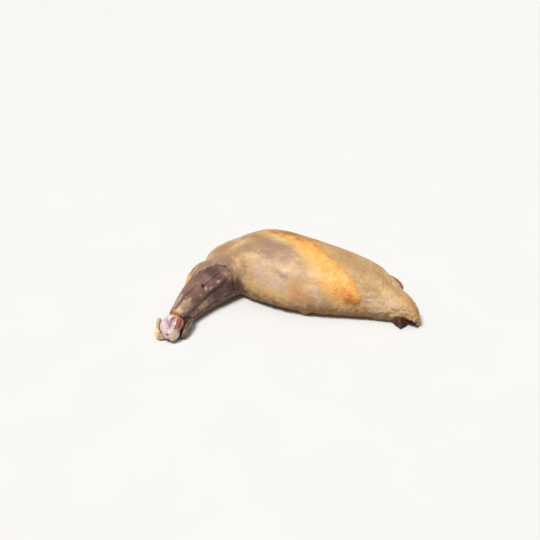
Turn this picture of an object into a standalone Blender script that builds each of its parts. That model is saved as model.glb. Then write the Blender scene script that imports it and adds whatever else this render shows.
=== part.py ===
"""Raw guinea fowl supreme: half of the breast in its skin, with the first joint of the wing left on it.

Three pieces: the breast with the skin that wraps it and cups the wing, the bare meat of the wing, and
the wing bone, whose knuckle stands out of the meat.

Metres, +Z up. +X runs along the breast from the shoulder to the tail tip, and the wing points to -Y.
The piece lies skin side up on z = 0, with the origin under the middle of its bounding box.
"""

import math

import bmesh
import bpy
import numpy as np
from mathutils import Matrix, Vector

MM = 0.001

# Driving dimensions
BREAST_LENGTH = 156 * MM
BREAST_WIDTH = 72 * MM
BREAST_THICKNESS = 36 * MM
WING_LENGTH = 77 * MM
WING_WIDTH = 29 * MM
SKIN = 1.6 * MM
GAP = 0.3 * MM

# The draughting frame, whose origin lies under the thick of the breast: the shoulder end and the wing's root
SHOULDER_X = -68 * MM
WING_ROOT_Y = 11 * MM

# The bare meat starts this share of the wing's length down from its root, under the skin's collar.
MEAT_START = 0.24
ROOT_ROUNDING = 0.10
TIP_ROUNDING = 0.05
SMALLEST_RING = 0.12

# The shape of a cross-section: how square its dome and its belly are, and where the wing is widest
DOME_POWER = 0.94
BELLY_POWER = 0.62
WING_WIDEST = 0.42

# Forms reach this far under the board before they are pressed flat on it.
SUNK = -0.8 * MM
NEARLY_DOWN = 0.1 * MM

# How finely the forms are drawn, and how many triangles are kept
SECTION_POINTS = 56
LOFT_STEPS = 70
SHAFT_POINTS = 20
SHAFT_STEPS = 24
VOXEL = 1.1 * MM
KNUCKLE_VOXEL = 0.55 * MM
BREAST_TRIANGLES = 8000
WING_TRIANGLES = 1500
BONE_TRIANGLES = 1300

# Points nearer than this to each other after a cut are one point.
SLIVER = 0.05 * MM

# Colours are linear RGB
SKIN_COLOUR = (0.52, 0.33, 0.16, 1.0)
WING_MEAT_COLOUR = (0.11, 0.045, 0.042, 1.0)
BONE_COLOUR = (0.66, 0.55, 0.52, 1.0)

# Cross-sections of the breast along its length. Shares of BREAST_LENGTH, then of BREAST_WIDTH for the
# near rim, the far rim and the ridge, and of BREAST_THICKNESS for the top and the widest level.
BREAST_SECTIONS = (
    # along, near rim, far rim, ridge, top, widest level
    (0.000, 0.09, 0.17, 0.13, 0.26, 0.16),
    (0.012, 0.02, 0.25, 0.12, 0.42, 0.22),
    (0.030, -0.04, 0.32, 0.11, 0.52, 0.24),
    (0.060, -0.09, 0.39, 0.10, 0.62, 0.25),
    (0.130, -0.15, 0.50, 0.11, 0.78, 0.25),
    (0.220, -0.20, 0.59, 0.14, 0.95, 0.24),
    (0.320, -0.265, 0.64, 0.15, 1.00, 0.23),
    (0.440, -0.30, 0.63, 0.14, 0.97, 0.22),
    (0.560, -0.28, 0.60, 0.13, 0.91, 0.21),
    (0.680, -0.22, 0.55, 0.13, 0.82, 0.20),
    (0.790, -0.15, 0.455, 0.12, 0.70, 0.20),
    (0.880, -0.11, 0.27, 0.07, 0.50, 0.19),
    (0.950, -0.10, 0.145, 0.01, 0.39, 0.19),
    (0.985, -0.11, 0.05, -0.04, 0.30, 0.17),
    (1.000, -0.10, -0.02, -0.06, 0.22, 0.15),
)

# Cross-sections of the wing's meat from its root in the breast to the knuckle. Shares of WING_LENGTH
# along, then of WING_WIDTH for the middle's x, the half width and the top.
WING_SECTIONS = (
    # along, middle, half width, top
    (0.00, -1.46, 0.30, 0.58),
    (0.10, -1.50, 0.43, 0.74),
    (0.25, -1.56, 0.49, 0.83),
    (0.38, -1.65, 0.45, 0.84),
    (0.50, -1.73, 0.39, 0.80),
    (0.62, -1.81, 0.32, 0.72),
    (0.74, -1.86, 0.26, 0.62),
    (0.86, -1.88, 0.20, 0.53),
    (0.96, -1.88, 0.17, 0.46),
    (1.00, -1.88, 0.14, 0.40),
)

# The edge of the skin where it is pulled off the wing's meat, clockwise from the outer side, in millimetres
# of the draughting frame. The upper edge is a window; the lower one is the rim of the skin under the wing.
# Past the wing's end the outline keeps clear of the lump and the flap of skin beside the knuckle.
WINDOW_EDGE = (
    # upper x and y, lower x and y, lower z
    (-84.0, -39.0, -84.0, -57.0, 6.0),
    (-66.0, -38.5, -66.0, -56.0, 6.0),
    (-59.5, -38.0, -58.0, -53.0, 6.0),
    (-58.0, -35.0, -54.0, -47.0, 6.0),
    (-55.5, -30.0, -51.0, -40.0, 6.0),
    (-52.5, -25.0, -49.0, -33.0, 6.2),
    (-49.0, -21.5, -47.0, -28.0, 6.4),
    (-45.5, -18.5, -44.0, -23.0, 6.6),
    (-42.0, -17.0, -41.0, -20.0, 6.8),
    (-38.5, -17.5, -38.0, -19.0, 7.0),
    (-35.0, -18.5, -35.0, -19.0, 7.0),
    (-31.0, -19.5, -31.0, -20.5, 7.0),
    (-27.5, -24.0, -27.5, -25.0, 6.8),
    (-22.0, -40.0, -24.0, -40.0, 5.6),
    (-38.0, -52.0, -38.0, -52.0, 5.2),
    (-46.9, -61.0, -46.9, -56.0, 5.0),
    (-46.9, -110.0, -46.9, -110.0, 4.0),
    (-57.8, -110.0, -57.8, -110.0, 4.5),
    (-57.8, -67.0, -57.8, -67.0, 4.5),
    (-84.0, -67.0, -84.0, -67.0, 6.0),
)
WINDOW_LEVELS = (19, 72)

# Forms melted into the breast: centre, radii and turns about X, Y and Z, in millimetres and degrees
SHOULDER = ((-49.6, -2, 11.6), (14.2, 17.4, 12.0), (0, 0, 0))
WING_TIP_SKIN = ((-46.5, -64.2, 3.8), (1.8, 10.8, 4.6), (6, 8, 6))
KNUCKLE_SKIN = ((-55.0, -67.5, 1.2), (7.6, 10.5, 2.0), (0, 0, 0))
KNUCKLE_FAT = ((-59.4, -76.0, 3.6), (4.6, 4.4, 4.2), (0, 0, 30))
SKIN_FLAP = ((-61.0, -73.2, 6.2), (2.3, 3.4, 8.0), (0, -8, 0))
FAR_FLAP = ((62.8, 27.4, 9.0), (11.5, 5.0, 4.0), (0, 0, -43))
COLLAR_LOBE = ((-59.4, -22.6, 17.2), (4.8, 12.5, 6.6), (20, 0, -14))
RIM_LUMPS = (
    ((15.2, -18.0, 2.6), (3.2, 2.6, 2.8), (0, 0, 0)),
    ((61.0, -6.6, 3.2), (4.0, 2.8, 3.0), (0, 0, 20)),
)

# The underside of the tail is open, and the meat's corner points out of it.
TAIL_HOLLOW = ((78.5, -10.5, -0.6), (9.6, 10.5, 6.4), (0, 0, 12))
TAIL_MEAT = ((62.0, 4.0, 0.0), (70.5, -6.6, 0.4), (78.3, -13.8, 0.8), (82.0, -4.0, 0.4), (74.0, 6.0, 0.0),
             (66.0, 2.0, 6.5), (73.0, -2.0, 5.6), (77.0, 3.0, 6.0), (77.4, -9.4, 3.6))

# The bone: stations of its shaft along the wing, and the knobs that are melted into its knuckle
SHAFT_STATIONS = (
    # reach towards -Y, x, z and radius in millimetres
    (13.0, -46.5, 11.0, 3.4),
    (20.0, -47.8, 11.0, 3.0),
    (34.0, -50.6, 10.2, 2.7),
    (50.0, -53.8, 8.8, 2.8),
    (62.0, -54.6, 7.8, 3.6),
    (70.0, -54.6, 7.6, 4.4),
)
KNUCKLE_KNOBS = (
    ((-57.7, -72.8, 7.2), (3.5, 5.4, 5.2), (0, 0, 10)),
    ((-54.4, -75.4, 5.8), (3.4, 5.0, 4.6), (0, 0, 0)),
    ((-50.6, -75.6, 5.0), (3.3, 5.0, 4.5), (0, 0, -10)),
    ((-55.0, -68.0, 8.8), (5.6, 4.2, 4.4), (0, 0, 0)),
    ((-50.0, -70.0, 8.2), (2.3, 5.0, 4.6), (0, 0, -8)),
)
KNUCKLE_HOLLOW = ((-51.3, -73.2, 13.4), (3.2, 5.8, 5.8), (0, 10, 10))

# Passes of smoothing on the breast and the knuckle, and the share of them that the breast's low forms get
SOFT_PASSES = 40
KNUCKLE_PASSES = 4
CRISP_SHARE = 0.22
CRISP_BELOW = 9 * MM
SOFT_ABOVE = 17 * MM


def clear_scene():
    for obj in list(bpy.data.objects):
        bpy.data.objects.remove(obj, do_unlink=True)


def new_collection(name, hidden=False):
    collection = bpy.data.collections.new(name)
    collection.hide_render = hidden
    bpy.context.scene.collection.children.link(collection)
    return collection


def material(name, colour, roughness):
    made = bpy.data.materials.new(name)
    made.use_nodes = True
    shader = made.node_tree.nodes["Principled BSDF"]
    shader.inputs["Base Color"].default_value = colour
    shader.inputs["Roughness"].default_value = roughness
    shader.inputs["Metallic"].default_value = 0.0
    made.diffuse_color = colour
    return made


def object_from(shape, name, collection):
    mesh = bpy.data.meshes.new(name)
    shape.to_mesh(mesh)
    shape.free()
    made = bpy.data.objects.new(name, mesh)
    collection.objects.link(made)
    return made


def smooth_rows(rows, at):
    """The table's values where its first column is at, on a smooth curve through its rows."""
    table = np.array(rows, float)
    knots = table[:, 0]
    slopes = np.gradient(table[:, 1:], knots, axis=0)
    i = int(np.clip(np.searchsorted(knots, at) - 1, 0, len(knots) - 2))
    span = knots[i + 1] - knots[i]
    t = (at - knots[i]) / span
    start, end = table[i, 1:], table[i + 1, 1:]
    return (
        (2 * t**3 - 3 * t**2 + 1) * start
        + (t**3 - 2 * t**2 + t) * span * slopes[i]
        + (3 * t**2 - 2 * t**3) * end
        + (t**3 - t**2) * span * slopes[i + 1]
    )


def section_outline(low_side, high_side, ridge, bottom, widest, top):
    """Points round a cross-section as (across, up): a dome above the widest level, a flatter belly below."""
    points = []
    for step in range(SECTION_POINTS):
        angle = 2 * math.pi * step / SECTION_POINTS
        c, s = math.cos(angle), math.sin(angle)
        reach = high_side - ridge if c > 0 else ridge - low_side
        if s >= 0:
            across, up = abs(c) ** DOME_POWER, widest + (top - widest) * s**DOME_POWER
        else:
            across, up = abs(c) ** BELLY_POWER, widest - (widest - bottom) * abs(s) ** BELLY_POWER
        points.append((ridge + math.copysign(reach * across, c), up))
    return points


def breast_rings():
    for step in range(LOFT_STEPS + 1):
        # Steps crowd towards the ends, where the outline turns fastest.
        along = 0.5 - 0.5 * math.cos(math.pi * step / LOFT_STEPS)
        near, far, ridge, top, widest = smooth_rows(BREAST_SECTIONS, along)
        x = SHOULDER_X + along * BREAST_LENGTH
        outline = section_outline(
            near * BREAST_WIDTH,
            far * BREAST_WIDTH,
            ridge * BREAST_WIDTH,
            SUNK,
            widest * BREAST_THICKNESS,
            top * BREAST_THICKNESS,
        )
        yield [Vector((x, across, up)) for across, up in outline]


def rounded_end(along, start):
    """How much of its full size a ring has, where the meat's two ends are rounded."""
    from_root = max(0.0, 1 - (along - start) / ROOT_ROUNDING)
    from_tip = max(0.0, 1 - (1 - along) / TIP_ROUNDING)
    return max(SMALLEST_RING, math.sqrt(1 - max(from_root, from_tip) ** 2))


def wing_ring(along, grow, bottom, size=1.0):
    """A ring round the wing's meat at a share of its length, grown outwards and then shrunk to a size."""
    middle, half_width, top = smooth_rows(WING_SECTIONS, along) * WING_WIDTH
    level = WING_WIDEST * top
    outline = section_outline(
        middle - (half_width + grow) * size,
        middle + (half_width + grow) * size,
        middle,
        level + (bottom - level) * size,
        level,
        level + (top + grow - level) * size,
    )
    return [Vector((across, WING_ROOT_Y - along * WING_LENGTH, up)) for across, up in outline]


def skin_sleeve_rings():
    for step in range(LOFT_STEPS + 1):
        yield wing_ring(step / LOFT_STEPS, SKIN + GAP, SUNK)


def wing_meat_rings():
    for step in range(LOFT_STEPS + 1):
        along = MEAT_START + (1 - MEAT_START) * step / LOFT_STEPS
        yield wing_ring(along, 0.0, SKIN + GAP, rounded_end(along, MEAT_START))


def shaft_rings():
    first, last = SHAFT_STATIONS[0][0], SHAFT_STATIONS[-1][0]
    for step in range(SHAFT_STEPS + 1):
        reach = first + (last - first) * step / SHAFT_STEPS
        x, z, radius = smooth_rows(SHAFT_STATIONS, reach)
        turns = [2 * math.pi * point / SHAFT_POINTS for point in range(SHAFT_POINTS)]
        yield [Vector((x + radius * math.cos(t), -reach, z + radius * math.sin(t))) * MM for t in turns]


def window_rings():
    yield [Vector((x, y, z)) * MM for _, _, x, y, z in WINDOW_EDGE]
    for level in WINDOW_LEVELS:
        yield [Vector((x, y, level)) * MM for x, y, _, _, _ in WINDOW_EDGE]


def loft(name, rings, collection):
    """A closed solid through rings of equal numbers of points."""
    shape = bmesh.new()
    rows = [[shape.verts.new(point) for point in ring] for ring in rings]
    for first, second in zip(rows, rows[1:]):
        for i, corner in enumerate(first):
            j = (i + 1) % len(first)
            shape.faces.new((corner, first[j], second[j], second[i]))
    shape.faces.new(list(reversed(rows[0])))
    shape.faces.new(rows[-1])
    bmesh.ops.recalc_face_normals(shape, faces=shape.faces)
    return object_from(shape, name, collection)


def ellipsoid(name, centre, radii, turns, collection):
    shape = bmesh.new()
    bmesh.ops.create_uvsphere(shape, u_segments=32, v_segments=20, radius=1.0)
    placed = Matrix.Translation(Vector(centre) * MM)
    for axis, degrees in zip("XYZ", turns):
        placed = placed @ Matrix.Rotation(math.radians(degrees), 4, axis)
    placed = placed @ Matrix.Diagonal((*[r * MM for r in radii], 1.0))
    bmesh.ops.transform(shape, matrix=placed, verts=shape.verts)
    return object_from(shape, name, collection)


def hull(name, corners, collection):
    """The convex solid round the corners, in millimetres."""
    shape = bmesh.new()
    for corner in corners:
        shape.verts.new(Vector(corner) * MM)
    bmesh.ops.convex_hull(shape, input=shape.verts)
    bmesh.ops.recalc_face_normals(shape, faces=shape.faces)
    return object_from(shape, name, collection)


def join_meshes(name, objects, collection):
    """One object that holds every mesh, still as overlapping closed shells."""
    shape = bmesh.new()
    for obj in objects:
        shape.from_mesh(obj.data)
        bpy.data.objects.remove(obj, do_unlink=True)
    return object_from(shape, name, collection)


def bake_modifiers(obj):
    """Swaps the object's mesh for what its modifiers make of it."""
    bpy.context.view_layer.update()
    graph = bpy.context.evaluated_depsgraph_get()
    mesh = bpy.data.meshes.new_from_object(obj.evaluated_get(graph))
    obj.modifiers.clear()
    obj.data = mesh


def melt(obj, voxel):
    """Turns overlapping shells into one skin."""
    remesh = obj.modifiers.new("melt", "REMESH")
    remesh.mode = "VOXEL"
    remesh.voxel_size = voxel
    bake_modifiers(obj)


def soften(obj, passes, share=None):
    """Smooths the seams between melted forms, everywhere alike or by a share of each point."""
    smooth = obj.modifiers.new("soften", "SMOOTH")
    smooth.factor = 0.5
    smooth.iterations = passes
    if share:
        group = obj.vertex_groups.new(name="soft")
        for vertex in obj.data.vertices:
            group.add([vertex.index], share(vertex.co), "REPLACE")
        smooth.vertex_group = group.name
    bake_modifiers(obj)
    obj.vertex_groups.clear()


def softness(point):
    """Full on the rounded top, less on the low rims, folds and lumps."""
    rise = min(1.0, max(0.0, (point.z - CRISP_BELOW) / (SOFT_ABOVE - CRISP_BELOW)))
    return CRISP_SHARE + (1 - CRISP_SHARE) * rise * rise * (3 - 2 * rise)


def thin_out(obj, triangles):
    """Keeps about this many triangles."""
    shape = bmesh.new()
    shape.from_mesh(obj.data)
    bmesh.ops.triangulate(shape, faces=shape.faces)
    shape.to_mesh(obj.data)
    shape.free()
    decimate = obj.modifiers.new("thin out", "DECIMATE")
    decimate.ratio = min(1.0, triangles / len(obj.data.polygons))
    bake_modifiers(obj)


def rest_on_board(obj):
    """Presses the underside flat, with everything that is nearly down."""
    for vertex in obj.data.vertices:
        if vertex.co.z < NEARLY_DOWN:
            vertex.co.z = 0.0


def grown_copy(name, obj, distance, collection):
    """The object's shape with its surface moved outwards."""
    shape = bmesh.new()
    shape.from_mesh(obj.data)
    shape.normal_update()
    for vertex, normal in [(v, v.normal.copy()) for v in shape.verts]:
        vertex.co += normal * distance
    return object_from(shape, name, collection)


def combine(obj, tool, operation="DIFFERENCE"):
    boolean = obj.modifiers.new(operation.lower() + " " + tool.name, "BOOLEAN")
    boolean.operation = operation
    boolean.object = tool
    tool.hide_render = True
    tool.display_type = "WIRE"


def clean_cuts(obj):
    """Makes the cuts part of the mesh and removes the slivers along them."""
    bake_modifiers(obj)
    shape = bmesh.new()
    shape.from_mesh(obj.data)
    bmesh.ops.remove_doubles(shape, verts=shape.verts, dist=SLIVER)
    bmesh.ops.dissolve_degenerate(shape, edges=shape.edges, dist=SLIVER)
    bmesh.ops.triangulate(shape, faces=shape.faces)
    shape.to_mesh(obj.data)
    shape.free()


def build_breast(parts, tools):
    forms = [loft("body", breast_rings(), parts), loft("sleeve", skin_sleeve_rings(), parts)]
    wing_forms = (COLLAR_LOBE, WING_TIP_SKIN, KNUCKLE_SKIN, KNUCKLE_FAT, SKIN_FLAP)
    for form in (SHOULDER, *wing_forms, FAR_FLAP, *RIM_LUMPS):
        forms.append(ellipsoid("form", *form, parts))
    breast = join_meshes("breast", forms, parts)
    melt(breast, VOXEL)
    soften(breast, SOFT_PASSES, softness)
    rest_on_board(breast)
    thin_out(breast, BREAST_TRIANGLES)
    rest_on_board(breast)
    combine(breast, ellipsoid("tail hollow", *TAIL_HOLLOW, tools))
    combine(breast, hull("tail meat", TAIL_MEAT, tools), "UNION")
    combine(breast, loft("wing window", window_rings(), tools))
    return breast


def build_wing_muscle(parts):
    muscle = loft("wing_muscle", wing_meat_rings(), parts)
    thin_out(muscle, WING_TRIANGLES)
    return muscle


def build_wing_bone(parts, tools):
    forms = [loft("shaft", shaft_rings(), parts)]
    forms += [ellipsoid("knob", *knob, parts) for knob in KNUCKLE_KNOBS]
    bone = join_meshes("wing_bone", forms, parts)
    melt(bone, KNUCKLE_VOXEL)
    soften(bone, KNUCKLE_PASSES)
    combine(bone, ellipsoid("knuckle hollow", *KNUCKLE_HOLLOW, tools))
    bake_modifiers(bone)
    thin_out(bone, BONE_TRIANGLES)
    return bone


def centre_on_origin(pieces, tools):
    """Moves everything so that the pieces' bounding box stands on the origin."""
    bpy.context.view_layer.update()
    corners = [Vector(corner) for piece in pieces for corner in piece.bound_box]
    shift = Matrix.Translation((
        -(min(c.x for c in corners) + max(c.x for c in corners)) / 2,
        -(min(c.y for c in corners) + max(c.y for c in corners)) / 2,
        0.0,
    ))
    for obj in (*pieces, *tools):
        obj.data.transform(shift)


def main():
    clear_scene()
    parts = new_collection("guinea_fowl_supreme")
    tools = new_collection("cutters", hidden=True)

    breast = build_breast(parts, tools)
    muscle = build_wing_muscle(parts)
    bone = build_wing_bone(parts, tools)

    # The softer piece gives way, by the gap that keeps the pieces apart.
    room_for_muscle = grown_copy("room for muscle", muscle, GAP, tools)
    room_for_bone = grown_copy("room for bone", bone, GAP, tools)
    combine(breast, room_for_muscle)
    combine(breast, room_for_bone)
    combine(muscle, room_for_bone)
    clean_cuts(breast)
    clean_cuts(muscle)

    centre_on_origin((breast, muscle, bone), tools.objects)
    breast.data.materials.append(material("poultry skin", SKIN_COLOUR, 0.5))
    muscle.data.materials.append(material("raw dark meat", WING_MEAT_COLOUR, 0.45))
    bone.data.materials.append(material("joint cartilage", BONE_COLOUR, 0.35))


main()
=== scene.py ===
"""The looks of a raw guinea fowl supreme: skin-on breast, bare dark meat of the wing and its knuckle.

Each piece starts from its solid, is made fine, and gets the low relief and the mottled finish of raw poultry.
"""

import math

import bpy
import numpy as np
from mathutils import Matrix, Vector, kdtree, noise
from mathutils.bvhtree import BVHTree


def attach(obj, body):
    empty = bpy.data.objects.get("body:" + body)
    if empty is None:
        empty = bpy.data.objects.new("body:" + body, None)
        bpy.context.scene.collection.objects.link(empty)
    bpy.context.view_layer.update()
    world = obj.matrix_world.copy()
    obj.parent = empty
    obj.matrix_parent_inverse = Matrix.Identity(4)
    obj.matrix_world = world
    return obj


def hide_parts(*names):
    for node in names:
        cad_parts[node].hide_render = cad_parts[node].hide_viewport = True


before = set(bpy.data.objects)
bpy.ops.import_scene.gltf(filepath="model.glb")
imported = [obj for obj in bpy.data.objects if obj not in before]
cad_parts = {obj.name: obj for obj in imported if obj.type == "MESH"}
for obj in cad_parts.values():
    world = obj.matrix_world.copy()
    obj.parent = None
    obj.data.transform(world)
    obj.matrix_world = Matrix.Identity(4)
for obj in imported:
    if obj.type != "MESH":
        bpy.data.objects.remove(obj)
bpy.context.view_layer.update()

bl_info = {
    "name": "Guinea Fowl Supreme",
    "version": (1, 0, 0),
    "blender": (4, 5, 0),
    "location": "View3D > Sidebar > Supreme",
    "description": "Dresses the solids of a raw guinea fowl supreme in skin, meat and cartilage",
    "category": "Add Mesh",
}

MM = 0.001
PER_METRE = 1000.0

# The middle line of the breast, from shoulder to tail, in millimetres. A place on the skin is given by its
# distance along this line and its degrees round it: 0 at the near rim, 90 on top and 180 at the far rim.
MIDDLE_X = (-78, -73.3, -57.7, -43.7, -28.1, -9.4, 9.4, 28.1, 45.2, 59.3, 70.2, 78)
MIDDLE_Y = (26.5, 27.2, 29.7, 31.1, 30.6, 29.0, 28.6, 29.0, 28.1, 22.9, 18.7, 12.8)
MIDDLE_Z = 3.0
MM_PER_DEGREE = 0.56

# The band of fat that shows through the skin, from behind the dome's top down to the near rim: its outline,
# and half the width of its edge in millimetres
FAT_BAND = (
    (-44, 150), (-43, 118), (-37, 101), (-27, 95), (-17, 92), (-7, 79), (2, 66), (9.5, 50), (17, 38),
    (24, 27), (31, 20), (37, 19), (40.5, 25), (40, 34), (33, 56), (22.5, 69), (11, 84), (0, 105), (-5, 124),
    (-10, 150),
)
FAT_EDGE = 1.5
# The degrees between which its edge blurs and between which it fades out, behind the top
FAT_BLURS = (92, 122)
FAT_FADES = (118, 160)
# The degrees between which the stain beside it fades out
STAIN_FADES = (135, 175)

# Soft-edged patches on the band and on the skin: middle as along and degrees round, half length and half
# width in millimetres, and turn in degrees
BROWN_FAT = (((-26, 122), (34, 14), -6), ((-30, 98), (8, 3), -20), ((38.5, 20), (9, 8), 0))
# Darker fat in patches, partly painted shade where the light falls off at the top
DEEP_FAT_AND_SHADE = (((30, 30), (10, 7), -20), ((0, 104), (12, 8), 0))
GREY_PATCHES = (
    ((-20, 68), (20, 9), -10), ((-27, 56), (12, 7), 0), ((-12, 43), (6, 2.5), -20), ((-45, 67), (7, 5), 0),
    ((-30, 76), (12, 6), 0), ((-64, 40), (7, 9), 0), ((-37, 13), (9, 4), 0), ((-42, 30), (5, 6), 0),
    ((-53, 38), (5, 6), 0), ((-40, 58), (5, 3), 30),
)
PINK_PATCHES = (((-26, 33), (11, 5.5), -25), ((-14, 28), (6, 5), 0), ((58, 14), (6, 3), 0))
PALE_PATCHES = (
    ((46, 30), (10, 6), -15), ((-9, 29), (9, 4), -20), ((12, 24), (9, 4), -30), ((60, 44), (9, 6), 0),
)
BRUISES = (((2.0, 23), (11, 5.5), -22), ((42, 12), (7, 2.5), -5))
# Darker patches, mostly on the top and far side of the dome: painted shade where the light falls off at the
# top
TOP_SHADE_PATCHES = (
    ((24, 102), (30, 14), -12), ((56, 84), (15, 9), -20), ((0, 140), (40, 10), 0), ((47, 48), (9, 6), -20),
)
WARM_PATCHES = (
    ((-52, 50), (10, 10), 0), ((-36, 62), (12, 6), 10), ((-62, 70), (10, 14), 0), ((-46, 108), (14, 12), 0),
    ((-44, 86), (14, 5), -10), ((42, 27), (4, 5), 0), ((12, 12), (13, 7), 0),
)
YELLOW_PATCHES = (
    ((-16, 14), (14, 5), -10), ((-40, 48), (8, 3), 20), ((64, 60), (12, 12), 0), ((36, 12), (14, 4), 0),
    ((-30, 62), (6, 2.5), 0), ((-14, 50), (4, 2), 0),
)
SKIN_PATCHES = {
    "grey": GREY_PATCHES, "pink": PINK_PATCHES, "bruise": BRUISES, "top_shade": TOP_SHADE_PATCHES,
    "warm": WARM_PATCHES, "yellow": YELLOW_PATCHES, "pale": PALE_PATCHES,
}
# How far a patch keeps its full strength and how far it reaches, as shares of its half length and width
PATCH_CORE = 0.1
PATCH_REACH = 1.5

# Beads of fat under the skin: along, degrees round, radius and height in millimetres
FAT_BEADS = (
    (-55.0, 55, 1.7, 0.25), (-43.4, 38, 1.9, 0.35), (-41.2, 36, 1.2, 0.25), (-36.9, 50, 1.4, 0.35),
    (-29.6, 57, 1.3, 0.25), (-27.6, 55.5, 1.5, 0.3), (-27.8, 47, 1.2, 0.2), (-16.4, 51, 1.3, 0.3),
    (-14.6, 50, 1.2, 0.28), (-35.8, 33, 1.6, 0.3), (-35.4, 28, 1.4, 0.25), (-35.0, 22, 1.8, 0.3),
    (-38.6, 41, 1.3, 0.25), (-46.5, 47, 1.5, 0.25), (-33.0, 60, 1.2, 0.2), (-22.0, 59, 1.1, 0.2),
    (-50.0, 48, 1.3, 0.2), (-44.5, 30, 1.6, 0.25), (-31.5, 40, 1.0, 0.2), (-7.0, 45, 1.0, 0.2),
)

# Where flesh, fat and thin skin show, in millimetres of the frame: centre and radii, and turn of the roll
TAIL_HOLLOW = ((68.5, 6.6, -0.6), (9.6, 10.5, 6.4))
TAIL_WEDGE = ((68.0, 6.0, 0.5), (9.5, 6.2, 5.6))
FAR_ROLL = ((52.8, 44.5, 9.0), (11.8, 5.2, 4.2), -43)
KNUCKLE_LUMP = ((-70.4, -58.4, 2.6), (5.4, 5.4, 5.4))
SKIN_FLAP = ((-71.2, -56.1, 10.0), (3.6, 4.4, 5.0))
COLLAR_FAT = ((-71.0, -17.5, 16.5), (4.5, 7.5, 6.0))
# The strip of skin that runs on from under the wing to the knuckle's side
SKIN_STRIP = ((-56.6, -47.0, 4.0), (3.6, 13.0, 7.0))
# Painted shade in the crease between wing and breast, partly a stain of thin skin over the dark meat
ARMPIT_SHADE = ((-41.8, -2.0, 8.5), (5.5, 6.0, 13.0))
# The middle of the bare meat, which the torn edge of the skin reaches towards
WINDOW_MIDDLE = (-58.0, -20.0, 12.0)
# The frayed rim of the skin over the tail's hollow, as points along it
TAIL_RIM = ((61, 10, 8), (67, 10, 9), (73, 9.5, 8), (77, 10, 4))
# Nicks in that rim and in the near rim: place, radius and depth
NICKS = (((63.7, 9.6, 9.3), 1.2, 0.9), ((71.6, 9.2, 8.2), 1.1, 0.8), ((27.2, 0.6, 7.6), 1.3, 0.6))

# The bare meat: lines along it, as points in millimetres, then half width and depth
MEAT_SEAMS = (
    (((-49.0, -5.0, 16.5), (-50.8, -12.5, 15.2), (-53.3, -18.8, 14.0), (-56.4, -28.4, 11.6),
      (-59.0, -38.0, 9.5), (-60.0, -46.0, 8.0)), 1.1, 1.0),
    (((-61.5, -22.0, 18.9), (-64.2, -34.0, 16.0), (-65.3, -44.0, 13.5)), 0.7, 0.25),
    (((-53.0, -24.0, 8.5), (-56.5, -36.0, 7.0), (-58.5, -46.0, 6.0)), 0.7, 0.35),
)
# Beads of fat and bits of white tissue on the meat: place, radius and height
MEAT_BEADS = (
    ((-49.6, -4.3, 20.2), 0.9, 0.3), ((-50.9, -6.6, 19.0), 0.6, 0.15), ((-51.8, -11.6, 18.3), 1.15, 0.45),
    ((-51.2, -13.4, 17.2), 0.7, 0.2), ((-54.9, -18.2, 16.6), 1.0, 0.3), ((-56.2, -20.9, 16.9), 1.2, 0.2),
    ((-54.0, -16.6, 16.4), 0.6, 0.2), ((-57.7, -26.4, 15.4), 0.7, 0.2), ((-61.0, -33.9, 15.3), 0.9, 0.35),
    ((-60.0, -37.0, 14.4), 0.7, 0.15), ((-63.4, -37.5, 15.0), 0.7, 0.15), ((-56.4, -29.0, 14.0), 0.6, 0.15),
)
# The end of a small vessel: place, radius and depth. The white end of a tendon: place and radius
MEAT_HOLE = ((-57.9, -21.0, 18.6), 1.3, 0.8)
TENDON_END = ((-62.6, -45.0, 13.2), 1.9)
# Where the meat is darkened with painted shade in its creases and beside the breast, where thin skin is left
# on it, and where it is pale over the bone, as centre and radii
MEAT_CREASE_SHADE = (
    ((-45.0, -5.0, 11.0), (6.0, 9.0, 10.0)), ((-55.0, 0.0, 25.0), (6.0, 3.5, 4.0)),
    ((-51.5, -26.0, 7.0), (4.0, 14.0, 4.0)), ((-56.0, -9.0, 22.5), (7.0, 7.0, 5.0)),
    ((-50.5, -13.5, 11.0), (5.0, 8.0, 5.0)),
)
FILM = ((-46.5, -3.5, 20.5), (5.5, 7.0, 5.0))
PALE_MEAT = (
    ((-62.6, -41.0, 13.2), (4.6, 9.0, 5.0)), ((-66.5, -38.5, 13.8), (2.4, 9.0, 4.5)),
    ((-57.4, -42.0, 8.0), (3.0, 8.0, 3.5)), ((-56.0, -28.0, 9.5), (2.6, 8.0, 3.5)),
)

# The knuckle: its hollow, the hollow's bottom and rim, its bare bone and the orange fat above it, as centre
# and radii, and its small dark hole, as place, radius and depth
KNUCKLE_HOLLOW = ((-59.9, -55.6, 13.8), (3.3, 6.0, 6.4))
HOLLOW_BOTTOM = ((-61.0, -55.0, 9.6), (1.8, 4.6, 3.4))
HOLLOW_RIM = ((-56.8, -55.6, 9.5), (2.4, 6.0, 5.0))
BARE_BONE = ((-58.0, -61.4, 4.0), (3.6, 3.6, 3.8))
ORANGE_STRIP = ((-64.6, -48.2, 12.2), (4.2, 3.4, 3.6))
BONE_HOLE = ((-62.6, -62.3, 6.2), 1.0, 0.9)

# Voxel sizes of the fine meshes
SKIN_VOXEL = 0.61 * MM
MEAT_VOXEL = 0.42 * MM
BONE_VOXEL = 0.3 * MM

# A point is covered where another solid is this near above it, seen from a little off its surface.
COVER_REACH = 5 * MM
COVER_START = 0.1 * MM

# The stage: half the floor's side, how far it lies under the object, and the camera's sensor and reach
FLOOR_REACH = 6.0
FLOOR_DROP = 0.2 * MM
SENSOR_WIDTH = 36.0
NEAREST_SEEN = 0.01
FURTHEST_SEEN = 50.0
# Where each light stands from the object, and how wide it looks in degrees
KEY_LIGHT = ((-0.25, -0.35, 1.0), 24)
BACK_LIGHT = ((0.35, 0.45, 0.9), 50)


# Small tools for colours, nodes and meshes


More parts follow.
